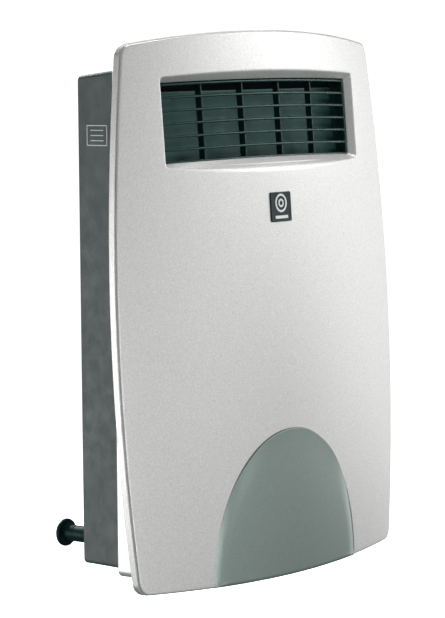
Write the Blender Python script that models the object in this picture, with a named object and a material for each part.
"""Wall-mounted electric fan heater: a bowed front cover on a box housing that stands off the wall.

Frame: +Z up, front towards -Y, X to the right when facing the unit. Y = 0 is the wall, and the origin is
the middle of the wall bracket's back face. Places inside the unit are written with at(x, depth, height):
depth is measured forwards from the housing's back, height upwards from the middle of the front cover.
All lengths are in metres.
"""

import math

import bmesh
import bpy
from mathutils import Vector

# Mounting
STANDOFF = 0.042                # wall to the back of the housing
BRACKET_HEIGHT = 0.150          # bracket above the middle of the cover

# Front cover
COVER_HEIGHT = 0.460
COVER_HALF_WIDTH = 0.187
COVER_TAPER = 0.0036            # half-width lost at the top and gained at the bottom
COVER_BARREL = 0.017            # half-width lost at both ends
TOP_ARCH = 0.012
BOTTOM_ARCH = 0.0047
CORNER_RADIUS = 0.009
EDGE_DEPTH = 0.0582             # depth of the face's side edges at mid height
LEAN = 0.0114                   # the bottom stands further forward
BOW = 0.0265                    # bulge across the width
CROWN = 0.005                   # bulge along the height
WALL = 0.0025
RIM = 0.008

# Rear housing
HOUSING_HALF_WIDTH = 0.160
HOUSING_TOP = 0.1937            # at the back; the top and bottom spread up to the skirt
HOUSING_BOTTOM = -0.2073
HOUSING_TOP_RISE = 0.0046
HOUSING_BOTTOM_DROP = 0.0011
HOUSING_LENGTH = 0.050
HOUSING_EDGE = 0.0012
SKIRT_START = 0.039             # where the cover's skirt begins

# Air outlet and its grille
OUTLET_HALF_WIDTH = 0.1310
OUTLET_BOTTOM = 0.1190
OUTLET_TOP = 0.1918
OUTLET_ARCH = 0.0046            # rise of the outlet's upper edge in the middle
OUTLET_DIP = 0.0068             # fall of its lower edge in the middle
CHAMFER = 0.0045
CHAMFER_DEPTH = 0.0065
COLLAR_DEPTH = 0.0135
GRILLE_FRONT = 0.007
GRILLE_DEPTH = 0.0065
BAR_ARCH = 0.0023               # rise of each bar in the middle
BAR_PITCH = 0.0108
BAR_COUNT = 7                   # the frame's two edges included
BAR = 0.0022
RIB_PITCH = 0.050
RIB_COUNT = 4
RIB = 0.0014
RIB_DEPTH = 0.0055

# Badge, lower inlay and the cover's skirt
BADGE_WIDTH = 0.028
BADGE_BOTTOM = 0.0693
BADGE_TOP = 0.0943
BADGE_PROUD = 0.0011
INLAY_HALF_WIDTH = 0.098
INLAY_HEIGHT = 0.1245
INLAY_POCKET = 0.0012
SKIRT_HALF_WIDTH = 0.1625
SKIRT_BOTTOM = -0.2145
SKIRT_TOP = 0.2010
SKIRT_WALL = 0.0022

# Fan, heater and duct
FAN_DEPTH = 0.034
FAN_HEIGHT = 0.020
FAN_LEFT = -0.120
FAN_RIGHT = 0.060
FAN_RADIUS = 0.027
BLADE_COUNT = 15
SHAFT_RADIUS = 0.003
SIDE_PLATE = 0.0015
SCROLL_TOP = 0.0617
HEATER_BOTTOM = 0.062
HEATER_TOP = 0.092
HEATER_BACK = 0.012
HEATER_FRONT = 0.0670
DUCT_BOTTOM = 0.0926
DUCT_TOP = 0.191
DUCT_HALF_WIDTH = 0.129
DUCT_WALL = 0.0015

# Motor
STATOR_START = 0.085
STATOR_END = 0.105
ROTOR_RADIUS = 0.0148
MOTOR_SCREW_SPREAD = 0.020

# Controls on the right side wall
THERMOSTAT_DEPTH = 0.024
THERMOSTAT_HEIGHT = -0.120
SWITCH_DEPTH = 0.024
SWITCH_HEIGHT = -0.070

# Places on the housing's back wall, as (x, height)
SPACER_X = 0.137
SPACER_HEIGHT = -0.1885
CABLE_SPOT = (0.060, -0.165)
SCROLL_SCREWS = ((-0.132, 0.050), (-0.132, -0.010), (0.073, 0.050), (0.073, -0.010))
DUCT_SCREWS = ((-0.136, 0.100), (0.136, 0.100))
CLAMP_SCREWS = ((0.044, -0.148), (0.076, -0.148))

COVER_SCREW_X = 0.1
COVER_SCREW_DEPTH = 0.045
BRACKET_ARM = 0.080             # the bracket's arms, left and right of its middle
SPACER_FOOT = 0.0111
SPACER_STEM = 0.0065

GAP = 0.0003                    # between pieces that touch
WIRE_RADIUS = 0.0011
SCREW_RADIUS = 0.0015
SCREW_HOLE = 0.0018
BOSS_TOP = 0.008

MATERIALS = {
    "silver_plastic": ((0.62, 0.62, 0.60), 0.38, 0.55),
    "inlay_plastic": ((0.24, 0.29, 0.27), 0.38, 0.25),
    "dark_plastic": ((0.075, 0.098, 0.095), 0.55, 0.0),
    "grille_plastic": ((0.03, 0.05, 0.047), 0.45, 0.0),
    "duct_plastic": ((0.045, 0.08, 0.073), 0.6, 0.0),
    "black_rubber": ((0.012, 0.014, 0.014), 0.6, 0.0),
    "zinc_steel": ((0.55, 0.56, 0.57), 0.35, 1.0),
    "lamination_steel": ((0.33, 0.33, 0.34), 0.45, 1.0),
    "aluminium": ((0.72, 0.73, 0.74), 0.35, 1.0),
    "copper_winding": ((0.55, 0.20, 0.08), 0.4, 0.6),
    "bronze": ((0.45, 0.30, 0.14), 0.4, 1.0),
    "white_plastic": ((0.75, 0.75, 0.70), 0.5, 0.0),
    "black_plastic": ((0.02, 0.02, 0.02), 0.4, 0.0),
}


def clear_scene():
    for obj in list(bpy.data.objects):
        bpy.data.objects.remove(obj, do_unlink=True)


def material(name):
    """The named Principled material, made once."""
    found = bpy.data.materials.get(name)
    if found:
        return found
    colour, roughness, metallic = MATERIALS[name]
    made = bpy.data.materials.new(name)
    made.use_nodes = True
    shader = made.node_tree.nodes["Principled BSDF"]
    shader.inputs["Base Color"].default_value = (*colour, 1.0)
    shader.inputs["Roughness"].default_value = roughness
    shader.inputs["Metallic"].default_value = metallic
    made.diffuse_color = (*colour, 1.0)
    return made


def at(x, depth, height):
    """A place in the unit, as a point of the wall frame."""
    return Vector((x, -STANDOFF - depth, height - BRACKET_HEIGHT))


# ---------------------------------------------------------------- mesh tools


def add_object(name, bm, finish):
    """Turns a bmesh into a named, smooth-shaded object with its faces pointing out."""
    bmesh.ops.remove_doubles(bm, verts=bm.verts, dist=1e-6)
    bmesh.ops.recalc_face_normals(bm, faces=bm.faces)
    mesh = bpy.data.meshes.new(name)
    bm.to_mesh(mesh)
    bm.free()
    mesh.shade_smooth()
    mesh.set_sharp_from_angle(angle=math.radians(35))
    mesh.materials.append(material(finish))
    obj = bpy.data.objects.new(name, mesh)
    bpy.context.scene.collection.objects.link(obj)
    return obj


def is_flat(row):
    """Whether a loop of vertices lies in one plane."""
    points = [vert.co for vert in row]
    centre = sum(points, Vector()) / len(points)
    normal = Vector()
    for first, second in zip(points, points[1:] + points[:1]):
        normal += (first - centre).cross(second - centre)
    normal.normalize()
    return all(abs((point - centre).dot(normal)) < 1e-6 for point in points)


def add_cap(bm, row):
    """Closes a loop: a flat one with a single face, a bowed one with quads from its low to its high side."""
    if len(row) == 4 or is_flat(row):
        bm.faces.new(row)
        return
    last = len(row) - 1
    for i in range(len(row) // 2 - 1):
        bm.faces.new((row[i], row[i + 1], row[last - i - 1], row[last - i]))


def add_skin(bm, loops, ring=False):
    """Faces between loops of equally many points. The ends are capped, or joined to each other for a ring."""
    rows = [[bm.verts.new(point) for point in loop] for loop in loops]
    pairs = list(zip(rows, rows[1:]))
    if ring:
        pairs.append((rows[-1], rows[0]))
    else:
        add_cap(bm, rows[0])
        add_cap(bm, rows[-1])
    for first, second in pairs:
        for i in range(len(first)):
            j = (i + 1) % len(first)
            bm.faces.new((first[i], second[i], second[j], first[j]))


def skin(name, loops, finish, ring=False):
    bm = bmesh.new()
    add_skin(bm, loops, ring)
    return add_object(name, bm, finish)


def box_loops(low, high):
    """The bottom and top loop of a box between two corners given as (x, depth, height)."""
    corners = ((0, 0), (1, 0), (1, 1), (0, 1))
    pick = (low, high)
    return [[at(pick[i][0], pick[j][1], height) for i, j in corners] for height in (low[2], high[2])]


def box(name, low, high, finish):
    return skin(name, box_loops(low, high), finish)


def turned_loops(profile, centre, axis, segments):
    """Loops of a turned solid, from (place along the axis, radius) pairs. The axis is x, depth or height."""
    place = {"x": lambda s, a, b: at(s, centre[0] + a, centre[1] + b),
             "depth": lambda s, a, b: at(centre[0] + a, s, centre[1] + b),
             "height": lambda s, a, b: at(centre[0] + a, centre[1] + b, s)}[axis]
    angles = [2 * math.pi * (i + 0.5) / segments for i in range(segments)]
    return [[place(along, radius * math.cos(angle), radius * math.sin(angle)) for angle in angles]
            for along, radius in profile]


def turned(name, profile, centre, axis, finish, segments=16, ring=False):
    return skin(name, turned_loops(profile, centre, axis, segments), finish, ring)


def tube(name, start, end, inner, outer, centre, axis, finish, segments=16):
    """A straight sleeve with an open bore."""
    profile = [(start, outer), (end, outer), (end, inner), (start, inner)]
    return turned(name, profile, centre, axis, finish, segments, ring=True)


def prism_loops(outline, start, end):
    """Loops of an outline of (depth, height) points, drawn out along x."""
    return [[at(x, depth, height) for depth, height in outline] for x in (start, end)]


def prism(name, outline, start, end, finish):
    return skin(name, prism_loops(outline, start, end), finish)


def tool(name, solids):
    """A hidden mesh of one or more closed solids, to cut with or to add."""
    bm = bmesh.new()
    for loops in solids:
        add_skin(bm, loops)
    obj = add_object(name, bm, "black_plastic")
    obj.hide_render = True
    obj.display_type = "WIRE"
    return obj


def combine(obj, other, operation):
    modifier = obj.modifiers.new(other.name, "BOOLEAN")
    modifier.object = other
    modifier.operation = operation
    modifier.solver = "EXACT"


def cut(obj, *solids):
    combine(obj, tool(f"{obj.name}_cut_{len(obj.modifiers)}", solids), "DIFFERENCE")


def add(obj, *solids):
    combine(obj, tool(f"{obj.name}_add_{len(obj.modifiers)}", solids), "UNION")


def hole_loops(start, end, radius, centre, axis, segments=12):
    return turned_loops([(start, radius), (end, radius)], centre, axis, segments)


# ---------------------------------------------------------------- the bowed face


def half_width(height):
    level = height / (COVER_HEIGHT / 2)
    return COVER_HALF_WIDTH - COVER_TAPER * level - COVER_BARREL * level ** 2


def face_depth(x, height):
    """Depth of the cover's outer face."""
    level = height / (COVER_HEIGHT / 2)
    across = x / COVER_HALF_WIDTH
    return EDGE_DEPTH - LEAN * level + BOW * (1 - across ** 2) + CROWN * (1 - level ** 2)


def bottom_edge(x):
    return -COVER_HEIGHT / 2 + BOTTOM_ARCH * (x / half_width(-COVER_HEIGHT / 2)) ** 2


def top_edge(x):
    return COVER_HEIGHT / 2 - TOP_ARCH * (x / half_width(COVER_HEIGHT / 2)) ** 2


def rounded_rectangle(left, right, bottom, top, radius, sides=(4, 4), corner=3):
    """Points of a rectangle with round corners, in (x, height). sides is the steps along x and height."""
    centres = ((right - radius, top - radius, 0), (left + radius, top - radius, 90),
               (left + radius, bottom + radius, 180), (right - radius, bottom + radius, 270))
    points = []
    for turn, (x, height, start) in enumerate(centres):
        for step in range(corner + 1):
            angle = math.radians(start + 90 * step / corner)
            points.append((x + radius * math.cos(angle), height + radius * math.sin(angle)))
        following = centres[(turn + 1) % 4]
        angle = math.radians(following[2])
        end = (following[0] + radius * math.cos(angle), following[1] + radius * math.sin(angle))
        begin = points[-1]
        steps = sides[turn % 2]
        for step in range(1, steps):
            share = step / steps
            points.append((begin[0] + (end[0] - begin[0]) * share, begin[1] + (end[1] - begin[1]) * share))
    return points


def cover_outline(inset):
    """Barrel-shaped outline of the cover, drawn in by the inset."""
    middle = COVER_HEIGHT / 2
    square = rounded_rectangle(-COVER_HALF_WIDTH + inset, COVER_HALF_WIDTH - inset, -middle + inset,
                               middle - inset, max(CORNER_RADIUS - inset, 0.004), sides=(10, 8))
    points = []
    for x, height in square:
        x *= half_width(height) / COVER_HALF_WIDTH
        share = (height + middle) / COVER_HEIGHT
        points.append((x, bottom_edge(x) + share * (top_edge(x) - bottom_edge(x))))
    return points


def bowed_loop(outline, behind):
    """An outline of (x, height) points laid parallel to the bowed face, some way behind it."""
    return [at(x, face_depth(x, height) - behind, height) for x, height in outline]


def bowed_block(left, right, bottom, top, front, back, steps=12):
    """Loops of a block whose front and back follow the bowed face."""
    outline = [(left + (right - left) * i / steps, bottom) for i in range(steps + 1)]
    outline += [(x, top) for x, _ in reversed(outline)]
    return [bowed_loop(outline, front), bowed_loop(outline, back)]


def arched_outline(left, right, bottom, top, rise, steps=12):
    """A strip of the bowed face whose lower and upper edges both rise in the middle of the outlet."""
    places = [left + (right - left) * i / steps for i in range(steps + 1)]
    low = [(x, bottom + rise * (1 - (x / OUTLET_HALF_WIDTH) ** 2)) for x in places]
    high = [(x, top + rise * (1 - (x / OUTLET_HALF_WIDTH) ** 2)) for x in reversed(places)]
    return low + high


# ---------------------------------------------------------------- casing


def make_front_cover():
    shrink = (1.0, 0.86, 0.70, 0.52, 0.34, 0.17, 0.04)
    outer = cover_outline(0.0)
    inner = cover_outline(WALL)
    loops = [bowed_loop([(x * s, h * s) for x, h in outer], 0.0) for s in reversed(shrink)]
    edge = loops[-1]
    back = Vector((0, RIM, 0))
    loops.append([point + back for point in edge])
    rim_inside = bowed_loop(inner, RIM)
    loops.append(rim_inside)
    loops += [bowed_loop([(x * s, h * s) for x, h in inner], WALL) for s in shrink]
    cover = skin("front_cover", loops, "silver_plastic")

    skirt = []
    for inset, front in ((0.0, False), (0.0, True), (SKIRT_WALL, True), (SKIRT_WALL, False)):
        outline = rounded_rectangle(-SKIRT_HALF_WIDTH + inset, SKIRT_HALF_WIDTH - inset, SKIRT_BOTTOM + inset,
                                    SKIRT_TOP - inset, 0.0058 - inset, sides=(8, 6))
        behind = WALL / 2
        if front:
            skirt.append(bowed_loop(outline, behind))
        else:
            skirt.append([at(x, SKIRT_START, height) for x, height in outline])
    bm = bmesh.new()
    add_skin(bm, skirt, ring=True)
    frame = add_object("front_cover_skirt", bm, "silver_plastic")
    frame.hide_render = True
    frame.display_type = "WIRE"
    combine(cover, frame, "UNION")

    plug = 0.003
    add(cover, outlet_loops((WALL / 2, plug, 0.0), (COLLAR_DEPTH, plug - CHAMFER, 0.0)))
    cut(cover, outlet_loops((-CHAMFER_DEPTH, CHAMFER, 1.0), (CHAMFER_DEPTH, -CHAMFER, 0.0),
                            (0.03, -CHAMFER, 0.0)))
    pocket = inlay_outline(GAP)
    cut(cover, [bowed_loop(pocket, -0.004), bowed_loop(pocket, INLAY_POCKET)])
    through = (SKIRT_BOTTOM - 0.004, SKIRT_BOTTOM + 0.004)
    cut(cover, *[hole_loops(*through, 0.002, (side * COVER_SCREW_X, COVER_SCREW_DEPTH), "height")
                 for side in (-1, 1)])
    return cover


def outlet_loops(*stations):
    """Loops of a solid through the outlet. A station is (distance behind the face, outward growth, flare).

    At flare 0 both edges rise with the bars. The flare adds the face's higher arch and its sagging lower lip.
    """
    steps = 12
    loops = []
    for behind, grow, flare in stations:
        side = OUTLET_HALF_WIDTH + grow
        bottom = OUTLET_BOTTOM - grow * 0.55
        top = OUTLET_TOP + grow
        sag = 2 * (OUTLET_DIP + BAR_ARCH) * flare - BAR_ARCH
        rise = 2 * (OUTLET_ARCH - BAR_ARCH) * flare + BAR_ARCH
        outline = []
        for i in range(steps + 1):
            across = -1 + 2 * i / steps
            outline.append((side * across, bottom - sag * (1 - across ** 2)))
        for i in range(steps + 1):
            across = 1 - 2 * i / steps
            outline.append((side * across, top + rise * (1 - across ** 2)))
        loops.append(bowed_loop(outline, behind))
    return loops


def inlay_outline(grow):
    """Half ellipse that stands on the cover's bottom edge."""
    across = INLAY_HALF_WIDTH + grow
    tall = INLAY_HEIGHT + grow
    steps = 20
    places = [across * math.cos(math.pi * i / steps) for i in range(steps + 1)]
    foot = bottom_edge(across) - (0.006 if grow else 0.0)
    low = [(x, min(foot, bottom_edge(x))) for x in reversed(places)]
    high = [(x, bottom_edge(x) + 0.0004 + tall * math.sqrt(max(0.0, 1 - (x / across) ** 2))) for x in places]
    return low + high


def make_lower_inlay():
    outline = inlay_outline(0.0)
    loops = [bowed_loop(outline, 0.0009), bowed_loop(outline, -0.0002)]
    for shrink, proud in ((0.96, 0.0008), (0.75, 0.0012), (0.4, 0.0016), (0.05, 0.0018)):
        shrunk = []
        for x, height in outline:
            foot = bottom_edge(x)
            shrunk.append((x * shrink, foot + (height - foot) * shrink))
        loops.append(bowed_loop(shrunk, -proud))
    return skin("lower_inlay", loops, "inlay_plastic")


def make_badge_plate():
    side = BADGE_WIDTH / 2
    plate = bowed_block(-side, side, BADGE_BOTTOM, BADGE_TOP, -BADGE_PROUD, -GAP, steps=3)
    return skin("badge_plate", plate, "dark_plastic")


def make_outlet_grille():
    middle = (OUTLET_BOTTOM + CHAMFER * 0.55 + OUTLET_TOP - CHAMFER) / 2
    side = OUTLET_HALF_WIDTH - CHAMFER - GAP
    reach = (OUTLET_TOP - OUTLET_BOTTOM - CHAMFER * 1.55) / 2 - GAP
    back = GRILLE_FRONT + GRILLE_DEPTH
    slab = arched_outline(-side, side, middle - reach, middle + reach, BAR_ARCH)
    grille = skin("outlet_grille", [bowed_loop(slab, GRILLE_FRONT), bowed_loop(slab, back)], "grille_plastic")
    slots = []
    for i in range(BAR_COUNT - 1):
        height = middle + (i - (BAR_COUNT - 2) / 2) * BAR_PITCH
        reach_up = (BAR_PITCH - BAR) / 2
        slot = arched_outline(-side + BAR, side - BAR, height - reach_up, height + reach_up, BAR_ARCH)
        slots.append([[at(x, depth, up) for x, up in slot] for depth in (0.03, 0.11)])
    cut(grille, *slots)
    ribs = []
    for i in range(RIB_COUNT):
        x = (i - (RIB_COUNT - 1) / 2) * RIB_PITCH
        low, high = middle - reach + 0.0005, middle + reach - 0.0005
        rib = arched_outline(x - RIB / 2, x + RIB / 2, low, high, BAR_ARCH, 1)
        ribs.append([bowed_loop(rib, back - 0.001), bowed_loop(rib, back + RIB_DEPTH)])
    add(grille, *ribs)
    return grille


def make_rear_housing():
    stations = [(HOUSING_EDGE, 0.0), (0.00035, 0.00035), (0.0, HOUSING_EDGE), (0.0, SKIRT_START),
                (0.0, HOUSING_LENGTH), (WALL, HOUSING_LENGTH), (WALL, SKIRT_START), (WALL, WALL)]
    loops = []
    for inset, depth in stations:
        share = min(1.0, depth / SKIRT_START)
        outline = rounded_rectangle(-HOUSING_HALF_WIDTH + inset, HOUSING_HALF_WIDTH - inset,
                                    HOUSING_BOTTOM - share * HOUSING_BOTTOM_DROP + inset,
                                    HOUSING_TOP + share * HOUSING_TOP_RISE - inset, 0.0035, sides=(1, 1))
        loops.append([at(x, depth, height) for x, height in outline])
    housing = skin("rear_housing", loops, "dark_plastic")
    posts = [hole_loops(WALL / 2, BOSS_TOP, 0.0042, spot, "depth") for spot in screw_spots()]
    add(housing, *posts)
    blind = [hole_loops(WALL + 0.0008, BOSS_TOP + 0.002, SCREW_HOLE, spot, "depth", 8)
             for spot in screw_spots()]
    cut(housing, *blind)
    openings = [box_loops((-0.122, -0.002, -0.060), (0.062, WALL + 0.002, 0.056))]
    for side in (-1, 1):
        arm = side * BRACKET_ARM
        openings.append(box_loops((arm - 0.0015, -0.002, 0.138), (arm + 0.0015, 0.005, 0.164)))
        openings.append(hole_loops(-0.002, 0.006, 0.0036, (side * SPACER_X, SPACER_HEIGHT), "depth"))
        openings.append(hole_loops(HOUSING_BOTTOM - 0.003, HOUSING_BOTTOM + 0.006, 0.002,
                                   (side * COVER_SCREW_X, COVER_SCREW_DEPTH), "height", 8))
    openings.append(hole_loops(-0.002, 0.006, 0.0073, CABLE_SPOT, "depth", 16))
    openings.append(hole_loops(0.155, 0.163, 0.0053, (THERMOSTAT_DEPTH, THERMOSTAT_HEIGHT), "x", 16))
    openings.append(box_loops((0.155, SWITCH_DEPTH - 0.0068, SWITCH_HEIGHT - 0.0138),
                              (0.163, SWITCH_DEPTH + 0.0068, SWITCH_HEIGHT + 0.0138)))
    cut(housing, *openings)
    return housing


def screw_spots():
    return SCROLL_SCREWS + DUCT_SCREWS + CLAMP_SCREWS


def make_intake_grille():
    """Rear guard: a flange on the outside of the housing and a field of bars in the window."""
    guard = box("intake_grille", (-0.126, -0.0018, -0.064), (0.066, -GAP, 0.060), "dark_plastic")
    add(guard, box_loops((-0.1217, -0.001, -0.0597), (0.0617, 0.0025, 0.0557)))
    slots = []
    rows = 12
    columns = 3
    for row in range(rows):
        height = -0.0555 + 0.0102 * row
        for column in range(columns):
            left = -0.1180 + 0.0600 * column
            slots.append(box_loops((left, -0.01, height - 0.0034), (left + 0.0562, 0.01, height + 0.0034)))
    cut(guard, *slots)
    return guard


def make_wall_bracket():
    """Steel channel: its web lies on the wall and its two arms end in hooks that carry the housing."""
    thick = 0.002
    web_low = BRACKET_HEIGHT - 0.028
    web_high = BRACKET_HEIGHT + 0.028
    wall = -STANDOFF
    reach = BRACKET_ARM + thick / 2
    bracket = box("wall_bracket", (-reach, wall, web_low), (reach, wall + thick, web_high), "zinc_steel")
    hook = [(wall + 0.001, web_low), (-0.0005, web_low), (-0.0005, 0.146), (0.0030, 0.146), (0.0030, 0.141),
            (0.0050, 0.141), (0.0050, 0.160), (0.0030, 0.160), (0.0030, 0.154), (-0.0005, 0.154),
            (-0.0005, web_high), (wall + 0.001, web_high)]
    arms = [prism_loops(hook, middle - thick / 2, middle + thick / 2)
            for middle in (-BRACKET_ARM, BRACKET_ARM)]
    add(bracket, *arms)
    slots = [box_loops((x - 0.009, wall - 0.01, BRACKET_HEIGHT - 0.0027),
                       (x + 0.009, wall + 0.01, BRACKET_HEIGHT + 0.0027)) for x in (-0.05, 0.05)]
    cut(bracket, *slots)
    return bracket


def make_wall_spacer(name, side):
    """Stand-off: a round foot on a stem, pressed into the housing's back."""
    wall = -STANDOFF
    profile = [(wall, 0.0085), (wall, 0.0100), (wall + 0.0010, SPACER_FOOT), (wall + 0.0042, SPACER_FOOT),
               (wall + 0.0050, 0.0100), (wall + 0.0050, SPACER_STEM), (-GAP, SPACER_STEM), (-GAP, 0.0033),
               (0.0060, 0.0030)]
    return turned(name, profile, (side * SPACER_X, SPACER_HEIGHT), "depth", "black_rubber", 20)


# ---------------------------------------------------------------- fan


def make_impeller():
    centre = (FAN_DEPTH, FAN_HEIGHT)
    impeller = turned("impeller", [(FAN_LEFT, FAN_RADIUS), (FAN_LEFT + 0.002, FAN_RADIUS),
                                   (FAN_LEFT + 0.002, 0.007), (FAN_LEFT + 0.012, 0.007),
                                   (FAN_LEFT + 0.012, 0.0033), (FAN_LEFT, 0.0033)],
                      centre, "x", "aluminium", 24, ring=True)
    bm = bmesh.new()
    mirrored = [(FAN_RIGHT, 0.0033), (FAN_RIGHT - 0.012, 0.0033), (FAN_RIGHT - 0.012, 0.007),
                (FAN_RIGHT - 0.002, 0.007), (FAN_RIGHT - 0.002, FAN_RADIUS), (FAN_RIGHT, FAN_RADIUS)]
    add_skin(bm, turned_loops(mirrored, centre, "x", 24), ring=True)
    third = (FAN_RIGHT - FAN_LEFT) / 3
    for share in (1, 2):
        x = FAN_LEFT + third * share
        start, end = x - 0.0008, x + 0.0008
        band = [(start, 0.0205), (start, FAN_RADIUS), (end, FAN_RADIUS), (end, 0.0205)]
        add_skin(bm, turned_loops(band, centre, "x", 24), ring=True)
    discs = add_object("impeller_discs", bm, "aluminium")
    discs.hide_render = True
    discs.display_type = "WIRE"
    combine(impeller, discs, "UNION")
    blades = []
    for i in range(BLADE_COUNT):
        turn = 2 * math.pi * (i + 0.25) / BLADE_COUNT
        section = []
        for side in (-1, 1):
            stations = (0.0, 0.5, 1.0) if side < 0 else (1.0, 0.5, 0.0)
            for share in stations:
                radius = 0.0212 + share * 0.0052
                angle = turn + 0.16 * share * share
                across = side * 0.0004
                section.append((FAN_DEPTH + radius * math.cos(angle) - across * math.sin(angle),
                                FAN_HEIGHT + radius * math.sin(angle) + across * math.cos(angle)))
        blades.append(prism_loops(section, FAN_LEFT + 0.001, FAN_RIGHT - 0.001))
    add(impeller, *blades)
    return impeller


def scroll_outline():
    """The spiral wall's section, running from below the fan round its front to a straight throat."""
    start = math.radians(-125)
    steps = 10
    thick = 0.0012
    inside = []
    outside = []
    for i in range(steps + 1):
        share = i / steps
        angle = start * (1 - share)
        for radius, side in ((0.029 + 0.0035 * share, inside), (0.029 + thick + 0.0035 * share, outside)):
            side.append((FAN_DEPTH + radius * math.cos(angle), FAN_HEIGHT + radius * math.sin(angle)))
    throat = inside[-1][0]
    return inside + [(throat, SCROLL_TOP), (throat + thick, SCROLL_TOP)] + list(reversed(outside))


def make_scroll():
    start = FAN_LEFT - 0.0035
    end = FAN_RIGHT + 0.0035
    prism("fan_scroll", scroll_outline(), start, end, "zinc_steel")
    tongue = [(0.0028, 0.0605), (0.0120, 0.0605), (0.0120, 0.0460), (0.0132, 0.0450), (0.0145, 0.0460),
              (0.0133, 0.0475), (0.0133, SCROLL_TOP), (0.0028, SCROLL_TOP)]
    prism("vortex_tongue", tongue, start, end, "zinc_steel")
    spots = {-1: SCROLL_SCREWS[:2], 1: SCROLL_SCREWS[2:]}
    sides = {-1: (start - GAP - SIDE_PLATE, start - GAP), 1: (end + GAP, end + GAP + SIDE_PLATE)}
    foot = {-1: (-0.139, start - GAP), 1: (end + GAP, 0.080)}
    for side, name, bore in ((-1, "scroll_side_left", 0.0092), (1, "scroll_side_right", 0.0090)):
        rear, front = BOSS_TOP + GAP, 0.0685
        outline = [(rear, -0.018), (0.050, -0.018), (front, 0.0), (front, SCROLL_TOP), (rear, SCROLL_TOP)]
        plate = prism(name, outline, *sides[side], "zinc_steel")
        add(plate, box_loops((foot[side][0], rear, -0.018), (foot[side][1], rear + SIDE_PLATE, 0.058)))
        low, high = sides[side]
        holes = [hole_loops(low - 0.002, high + 0.002, bore, (FAN_DEPTH, FAN_HEIGHT), "x", 16)]
        holes += [hole_loops(0.006, 0.012, SCREW_HOLE, spot, "depth", 8) for spot in spots[side]]
        cut(plate, *holes)


def make_screw(name, centre, axis, head_start, towards, length, head=0.0032, finish="zinc_steel"):
    """Pan-head screw with a slot. towards is +1 or -1, the way the shank points along the axis."""
    top = head_start - towards * 0.0020
    profile = [(top, 0.0022), (top + towards * 0.0006, head), (head_start, head), (head_start, SCREW_RADIUS),
               (head_start + towards * length, SCREW_RADIUS * 0.8)]
    return turned(name, profile, centre, axis, finish, 8)


def make_fan_bearings():
    centre = (FAN_DEPTH, FAN_HEIGHT)
    turned("stub_shaft", [(-0.136, SHAFT_RADIUS), (-0.110, SHAFT_RADIUS)], centre, "x", "zinc_steel", 16)
    tube("far_bush", -0.130, -0.1215, SHAFT_RADIUS + 0.00006, 0.0060, centre, "x", "bronze")
    mount = [(-0.1215, 0.0063), (-0.1215, 0.0089), (-0.1256, 0.0089), (-0.1256, 0.0115), (-0.1285, 0.0115),
             (-0.1285, 0.0063)]
    turned("far_bearing_mount", mount, centre, "x", "black_rubber", 16, ring=True)


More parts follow.
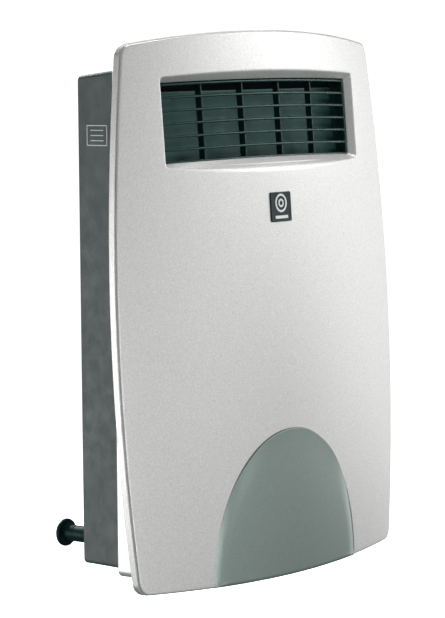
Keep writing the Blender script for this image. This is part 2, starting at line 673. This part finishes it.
def make_motor():
    centre = (FAN_DEPTH, FAN_HEIGHT)
    turned("motor_shaft", [(0.050, SHAFT_RADIUS), (0.118, SHAFT_RADIUS)], centre, "x", "zinc_steel", 16)
    tube("rotor", STATOR_START + 0.0003, STATOR_END - 0.0003, SHAFT_RADIUS + GAP, ROTOR_RADIUS, centre, "x",
         "aluminium", 24)
    window = (-0.032, -0.002)
    stator = box("stator", (STATOR_START, FAN_DEPTH - 0.024, -0.044), (STATOR_END, FAN_DEPTH + 0.024, 0.046),
                 "lamination_steel")
    spots = [(FAN_DEPTH + side * MOTOR_SCREW_SPREAD, FAN_HEIGHT) for side in (-1, 1)]
    through = [hole_loops(STATOR_START - 0.002, STATOR_END + 0.002, SCREW_HOLE, spot, "x", 8)
               for spot in spots]
    bore = hole_loops(STATOR_START - 0.002, STATOR_END + 0.002, ROTOR_RADIUS + 0.0004, centre, "x", 24)
    gap = box_loops((STATOR_START - 0.002, FAN_DEPTH - 0.017, window[0]),
                    (STATOR_END + 0.002, FAN_DEPTH + 0.017, window[1]))
    cut(stator, bore, gap, *through)

    low, high = window[0] - 0.012 - GAP, window[0] + GAP
    wound = []
    for depth, wide in ((-0.015, True), (0.015, True), (0.015, False), (-0.015, False)):
        grow = 0.0065 if wide else 0.0
        corners = ((STATOR_START - GAP - grow, low - grow), (STATOR_END + GAP + grow, low - grow),
                   (STATOR_END + GAP + grow, high + grow), (STATOR_START - GAP - grow, high + grow))
        wound.append([at(x, FAN_DEPTH + depth, height) for x, height in corners])
    skin("motor_coil", wound, "copper_winding", ring=True)

    brackets = (("inner", STATOR_START - GAP - 0.003, STATOR_START - GAP, -1),
                ("outer", STATOR_END + GAP, STATOR_END + GAP + 0.003, 1))
    for word, start, end, way in brackets:
        bridge = box(f"motor_bracket_{word}", (start, FAN_DEPTH - 0.024, FAN_HEIGHT - 0.007),
                     (end, FAN_DEPTH + 0.024, FAN_HEIGHT + 0.007), "zinc_steel")
        reach = (start - 0.0065, start + 0.001) if way < 0 else (end - 0.001, end + 0.0065)
        add(bridge, hole_loops(*reach, 0.0082, centre, "x", 20))
        bores = [hole_loops(start - 0.01, end + 0.01, 0.0053, centre, "x", 16)]
        bores += [hole_loops(start - 0.002, end + 0.002, SCREW_HOLE, spot, "x", 8) for spot in spots]
        cut(bridge, *bores)
        sleeve = (start - 0.0065, end) if way < 0 else (start, end + 0.0065)
        tube(f"motor_bearing_{word}", *sleeve, SHAFT_RADIUS + 0.00006, 0.0050, centre, "x", "bronze")
    for word, spot in zip(("rear", "front"), spots):
        pillar_end = STATOR_START - GAP - 0.003 - GAP
        plate = FAN_RIGHT + 0.0035 + GAP + SIDE_PLATE + GAP
        profile = [(plate, 0.0036), (pillar_end, 0.0036)]
        pillar = turned(f"motor_pillar_{word}", profile, spot, "x", "zinc_steel", 6)
        cut(pillar, hole_loops(plate + 0.003, pillar_end + 0.002, SCREW_HOLE, spot, "x", 8))
        make_screw(f"motor_screw_{word}", spot, "x", STATOR_END + 2 * GAP + 0.003, -1, 0.036)


# ---------------------------------------------------------------- heater and duct


def make_heater():
    left = FAN_LEFT - 0.0053
    right = FAN_RIGHT + 0.0053
    thick = 0.0012
    rings = []
    for inset, height in ((0, HEATER_BOTTOM), (0, HEATER_TOP), (thick, HEATER_TOP), (thick, HEATER_BOTTOM)):
        ends = (left + inset, right - inset)
        rear, front = HEATER_BACK + inset, HEATER_FRONT - inset
        rings.append([at(ends[0], rear, height), at(ends[1], rear, height),
                      at(ends[1], front, height), at(ends[0], front, height)])
    skin("heater_frame", rings, "zinc_steel", ring=True)
    for number in range(3):
        middle = HEATER_BACK + (HEATER_FRONT - HEATER_BACK) * (2 * number + 1) / 6
        make_element(f"heater_element_{number + 1}", left + thick + GAP, right - thick - GAP, middle)
    centre = (0.040, 0.077)
    start = right + GAP
    profile = [(start, 0.0085), (start + 0.004, 0.0085), (start + 0.004, 0.0070), (start + 0.0085, 0.0070)]
    turned("thermal_cutout", profile, centre, "x", "white_plastic", 16)


def make_element(name, left, right, middle):
    """Heating bar with deep fins on both sides."""
    fins = 12
    pitch = (right - left) / fins
    front = []
    back = []
    for i in range(fins):
        for share, reach in ((0.0, 0.0065), (0.55, 0.0065), (0.55, 0.0035), (1.0, 0.0035)):
            front.append((left + pitch * (i + share), middle + reach))
            back.append((left + pitch * (i + share), middle - reach))
    outline = back + list(reversed(front))
    loops = [[at(x, depth, height) for x, depth in outline] for height in (0.067, 0.087)]
    return skin(name, loops, "aluminium")


def make_outlet_duct():
    """Hood over the heater that turns the air forwards to the grille."""
    back = 0.010
    shelf = 0.113
    wall_depth = 0.0385
    outline = [(back, DUCT_BOTTOM), (0.0672, DUCT_BOTTOM), (0.0672, shelf), (0.090, shelf), (0.090, DUCT_TOP),
               (wall_depth, DUCT_TOP), (wall_depth, 0.1190), (back, 0.1070)]
    duct = prism("outlet_duct", outline, -DUCT_HALF_WIDTH, DUCT_HALF_WIDTH, "duct_plastic")
    behind_grille = COLLAR_DEPTH + 2 * GAP
    cut(duct, bowed_block(-0.14, 0.14, shelf - 0.0001, DUCT_TOP + 0.01, -0.03, behind_grille))
    side = DUCT_HALF_WIDTH - DUCT_WALL
    floor, front, turn = DUCT_BOTTOM + DUCT_WALL, 0.0672 - DUCT_WALL, shelf - 0.0005
    low = [(back + DUCT_WALL, floor), (front, floor), (front, turn), (wall_depth + DUCT_WALL, turn),
           (wall_depth + DUCT_WALL, 0.1180), (back + DUCT_WALL, 0.1060)]
    cut(duct, prism_loops(low, -side, side))
    lip = behind_grille + DUCT_WALL
    cut(duct, straight_back_block(side, 0.1115, 0.1205, wall_depth + DUCT_WALL, lip))
    cut(duct, straight_back_block(side, 0.1195, DUCT_TOP - DUCT_WALL, wall_depth + DUCT_WALL, -0.02))
    cut(duct, box_loops((FAN_LEFT - 0.0041, HEATER_BACK, DUCT_BOTTOM - 0.002),
                        (FAN_RIGHT + 0.0041, HEATER_FRONT - 0.0015, DUCT_BOTTOM + 0.004)))
    ears = [box_loops((-0.143, BOSS_TOP + GAP, 0.0935), (-side, 0.0112, 0.1065)),
            box_loops((side, BOSS_TOP + GAP, 0.0935), (0.143, 0.0112, 0.1065))]
    add(duct, *ears)
    cut(duct, *[hole_loops(0.006, 0.014, SCREW_HOLE, spot, "depth", 8) for spot in DUCT_SCREWS])
    return duct


def straight_back_block(side, bottom, top, back, front_behind):
    """Loops of a block with a flat back and a front that follows the bowed face."""
    steps = 12
    ring = [(-side + 2 * side * i / steps, bottom) for i in range(steps + 1)]
    ring += [(x, top) for x, _ in reversed(ring)]
    return [bowed_loop(ring, front_behind), [at(x, back, height) for x, height in ring]]


# ---------------------------------------------------------------- electrics


def make_controls():
    outside = HOUSING_HALF_WIDTH
    inside = outside - WALL
    centre = (THERMOSTAT_DEPTH, THERMOSTAT_HEIGHT)
    body = box("thermostat_body", (inside - 0.026, centre[0] - 0.014, centre[1] - 0.014),
               (inside - GAP, centre[0] + 0.014, centre[1] + 0.014), "white_plastic")
    add(body, hole_loops(inside - 0.005, outside + 0.0005, 0.0050, centre, "x", 16))
    cut(body, hole_loops(inside - 0.015, outside + 0.003, SHAFT_RADIUS + 0.0001, centre, "x", 16))
    spindle = [(inside - 0.014, SHAFT_RADIUS), (outside + 0.010, SHAFT_RADIUS)]
    turned("thermostat_spindle", spindle, centre, "x", "zinc_steel", 16)
    profile = [(outside + 0.0010, 0.0150), (outside + 0.0035, 0.0150), (outside + 0.0050, 0.0130),
               (outside + 0.0125, 0.0120), (outside + 0.0135, 0.0108)]
    knob = turned("thermostat_knob", profile, centre, "x", "dark_plastic", 24)
    add(knob, box_loops((outside + 0.012, centre[0] - 0.0012, centre[1] + 0.002),
                        (outside + 0.0145, centre[0] + 0.0012, centre[1] + 0.0105)))
    cut(knob, hole_loops(outside - 0.003, outside + 0.0105, SHAFT_RADIUS + GAP, centre, "x", 16))

    middle = (SWITCH_DEPTH, SWITCH_HEIGHT)
    body = box("rocker_switch_body", (inside - 0.018, middle[0] - 0.0065, middle[1] - 0.0135),
               (outside + 0.0005, middle[0] + 0.0065, middle[1] + 0.0135), "black_plastic")
    add(body, box_loops((outside + GAP, middle[0] - 0.0085, middle[1] - 0.0155),
                        (outside + 0.0018, middle[0] + 0.0085, middle[1] + 0.0155)))
    cut(body, box_loops((outside - 0.0085, middle[0] - 0.0052, middle[1] - 0.0118),
                        (outside + 0.004, middle[0] + 0.0052, middle[1] + 0.0118)))
    pivot = outside - 0.0030
    tilt = math.radians(-8)
    section = []
    for out, up in ((0.0068, 0.0108), (0.0040, 0.0), (0.0068, -0.0108), (-0.0008, -0.0106), (-0.0030, 0.0),
                    (-0.0008, 0.0106)):
        section.append((pivot + out * math.cos(tilt) - up * math.sin(tilt),
                        middle[1] + out * math.sin(tilt) + up * math.cos(tilt)))
    loops = [[at(x, middle[0] + depth, height) for x, height in section] for depth in (-0.0047, 0.0047)]
    skin("rocker", loops, "black_plastic")


def make_supply():
    x, height = CABLE_SPOT
    grommet = [(-0.0030, 0.0105), (-GAP, 0.0105), (-GAP, 0.0070), (WALL + GAP, 0.0070), (WALL + GAP, 0.0095),
               (0.0055, 0.0085), (0.0055, 0.0040), (-0.0030, 0.0040)]
    turned("cable_grommet", grommet, CABLE_SPOT, "depth", "black_rubber", 16, ring=True)
    clamp = box("cord_clamp", (x - 0.021, 0.0083, -0.153), (x + 0.021, 0.0115, -0.143), "white_plastic")
    cut(clamp, *[hole_loops(0.006, 0.014, SCREW_HOLE, spot, "depth", 8) for spot in CLAMP_SCREWS],
        hole_loops(-0.16, -0.13, 0.0042, (x, 0.0062), "height", 12))
    low, high = (x - 0.024, WALL + GAP, -0.128), (x + 0.024, 0.018, -0.108)
    block = box("terminal_block", low, high, "white_plastic")
    screws = [(x + 0.016 * i, -0.118) for i in (-1, 0, 1)]
    cut(block, *[hole_loops(0.009, 0.020, 0.0036, spot, "depth", 10) for spot in screws],
        *[hole_loops(-0.130, -0.106, 0.0022, (spot[0], 0.0070), "height", 8) for spot in screws])
    for number, spot in enumerate(screws):
        make_screw(f"terminal_screw_{number + 1}", spot, "depth", 0.0120, -1, 0.0020, 0.0030, "bronze")


def smooth_route(points, steps=3):
    """Points of a smooth curve through the route's own points."""
    ends = [2 * points[0] - points[1]] + points + [2 * points[-1] - points[-2]]
    route = []
    for i in range(1, len(ends) - 2):
        before, start, end, after = ends[i - 1:i + 3]
        square = 2 * before - 5 * start + 4 * end - after
        cube = 3 * start - before - 3 * end + after
        for step in range(steps):
            t = step / steps
            route.append(start + 0.5 * ((end - before) * t + square * t ** 2 + cube * t ** 3))
    return route + [points[-1]]


def make_wire(name, places):
    curve = bpy.data.curves.new(name, "CURVE")
    curve.dimensions = "3D"
    curve.bevel_depth = WIRE_RADIUS
    curve.bevel_resolution = 1
    curve.use_fill_caps = True
    route = smooth_route([at(*place) for place in places])
    spline = curve.splines.new("POLY")
    spline.points.add(len(route) - 1)
    for point, place in zip(spline.points, route):
        point.co = (*place, 1.0)
    curve.materials.append(material("black_plastic"))
    obj = bpy.data.objects.new(name, curve)
    bpy.context.scene.collection.objects.link(obj)
    return obj


def make_wiring():
    """Leads from the terminal block to the switch, the thermostat, the heater's cut-out and the motor."""
    make_wire("switch_lead", [(0.076, 0.010, -0.1076), (0.078, 0.012, -0.1000), (0.095, 0.019, -0.0860),
                              (0.122, 0.023, -0.0760), (0.1390, 0.024, -0.0740)])
    make_wire("thermostat_lead", [(0.1390, 0.027, -0.0800), (0.127, 0.031, -0.0860), (0.121, 0.033, -0.1000),
                                  (0.123, 0.030, -0.1140), (0.1311, 0.026, -0.1170)])
    make_wire("heater_lead", [(0.1311, 0.020, -0.1240), (0.119, 0.016, -0.1220), (0.114, 0.013, -0.0950),
                              (0.129, 0.014, -0.0550), (0.134, 0.018, 0.0000), (0.130, 0.028, 0.0500),
                              (0.108, 0.038, 0.0740), (0.0746, 0.040, 0.0770)])
    make_wire("motor_lead", [(0.060, 0.010, -0.1076), (0.061, 0.014, -0.0980), (0.072, 0.026, -0.0860),
                             (0.090, 0.033, -0.0720), (0.095, 0.034, -0.0513)])


def make_fasteners():
    for number, spot in enumerate(SCROLL_SCREWS):
        make_screw(f"scroll_screw_{number + 1}", spot, "depth", 0.0098 + GAP, -1, 0.0060)
    for word, spot in zip(("left", "right"), DUCT_SCREWS):
        make_screw(f"duct_screw_{word}", spot, "depth", 0.0112 + GAP, -1, 0.0070)
    for word, spot in zip(("left", "right"), CLAMP_SCREWS):
        make_screw(f"clamp_screw_{word}", spot, "depth", 0.0115 + GAP, -1, 0.0070)
    for word, side in (("left", -1), ("right", 1)):
        make_screw(f"cover_screw_{word}", (side * COVER_SCREW_X, COVER_SCREW_DEPTH), "height",
                   SKIRT_BOTTOM - GAP, 1, 0.012, 0.0036)


def main():
    clear_scene()
    make_front_cover()
    make_lower_inlay()
    make_badge_plate()
    make_outlet_grille()
    make_rear_housing()
    make_intake_grille()
    make_wall_bracket()
    make_wall_spacer("wall_spacer_left", -1)
    make_wall_spacer("wall_spacer_right", 1)
    make_impeller()
    make_scroll()
    make_fan_bearings()
    make_motor()
    make_heater()
    make_outlet_duct()
    make_controls()
    make_supply()
    make_wiring()
    make_fasteners()


main()
